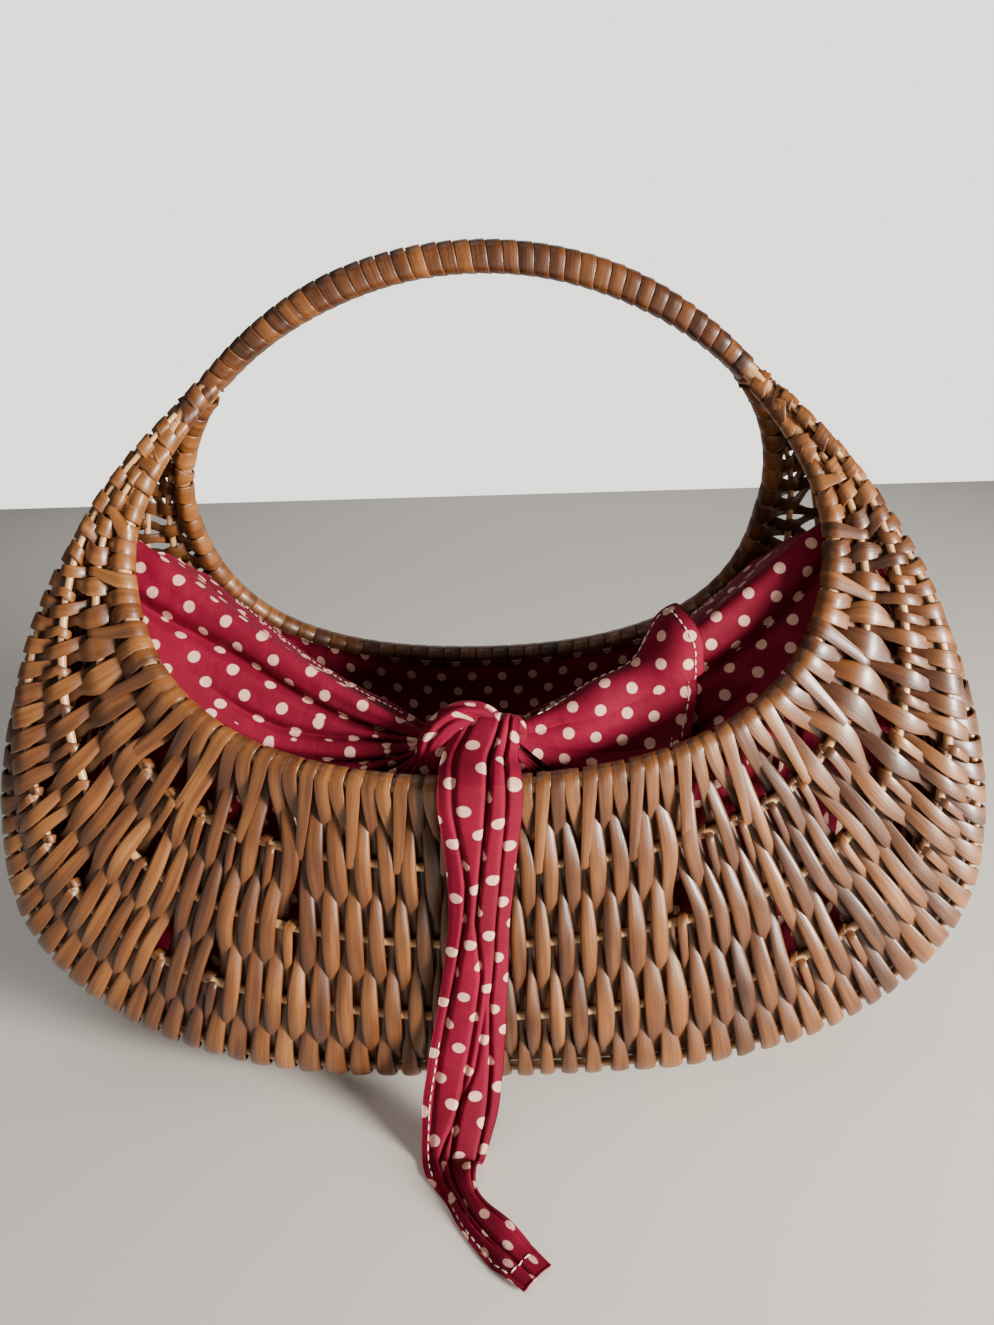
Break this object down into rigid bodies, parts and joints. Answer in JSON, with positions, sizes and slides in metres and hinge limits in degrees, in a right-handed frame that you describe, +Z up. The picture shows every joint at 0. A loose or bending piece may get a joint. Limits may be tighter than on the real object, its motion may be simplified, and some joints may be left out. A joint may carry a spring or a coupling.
{
  "type": "lined wicker basket",
  "caption": "Gondola-shaped willow basket with a wrapped hoop handle, ribs like a boat's, woven flat strands and a spotted cotton lining tied in a knot over the front rim.",
  "frame": {"origin": "on the table, under the middle of the base, where the middle strand's flat stretch rests", "axes": "+Z up, +X along the basket to the right, +Y to the back, away from the knot and its tails"},
  "size_m": [0.422, 0.2561, 0.354],
  "materials": {
    "hoop_willow": "peeled willow rod, varnished, semi-gloss",
    "rib_willow": "thin peeled willow rod, varnished, semi-gloss",
    "strand_willow": "split willow, honey brown, varnished, glossy on the skin side",
    "spotted_cotton": "thin plain-woven cotton, crimson with small pale dots, matt"
  },
  "bodies": {
    "root": {"front_hoop": "hoop_willow", "back_hoop": "hoop_willow", "rib_01": "rib_willow", "rib_02": "rib_willow", "rib_03": "rib_willow", "rib_04": "rib_willow", "rib_05": "rib_willow", "rib_06": "rib_willow", "rib_07": "rib_willow", "rib_08": "rib_willow", "rib_09": "rib_willow", "rib_10": "rib_willow", "rib_11": "rib_willow", "strand_01": "strand_willow", "strand_02": "strand_willow", "strand_03": "strand_willow", "strand_04": "strand_willow", "strand_05": "strand_willow", "strand_06": "strand_willow", "strand_07": "strand_willow", "strand_08": "strand_willow", "strand_09": "strand_willow", "strand_10": "strand_willow", "strand_11": "strand_willow", "strand_12": "strand_willow", "strand_13": "strand_willow", "strand_14": "strand_willow", "strand_15": "strand_willow", "strand_16": "strand_willow", "strand_17": "strand_willow", "strand_18": "strand_willow", "strand_19": "strand_willow", "handle_wrap": "strand_willow", "left_ear": "strand_willow", "right_ear": "strand_willow", "lining_bag": "spotted_cotton", "left_panel": "spotted_cotton", "right_panel": "spotted_cotton", "knot": "spotted_cotton", "long_tail": "spotted_cotton", "short_tail": "spotted_cotton"}
  },
  "joints": []
}
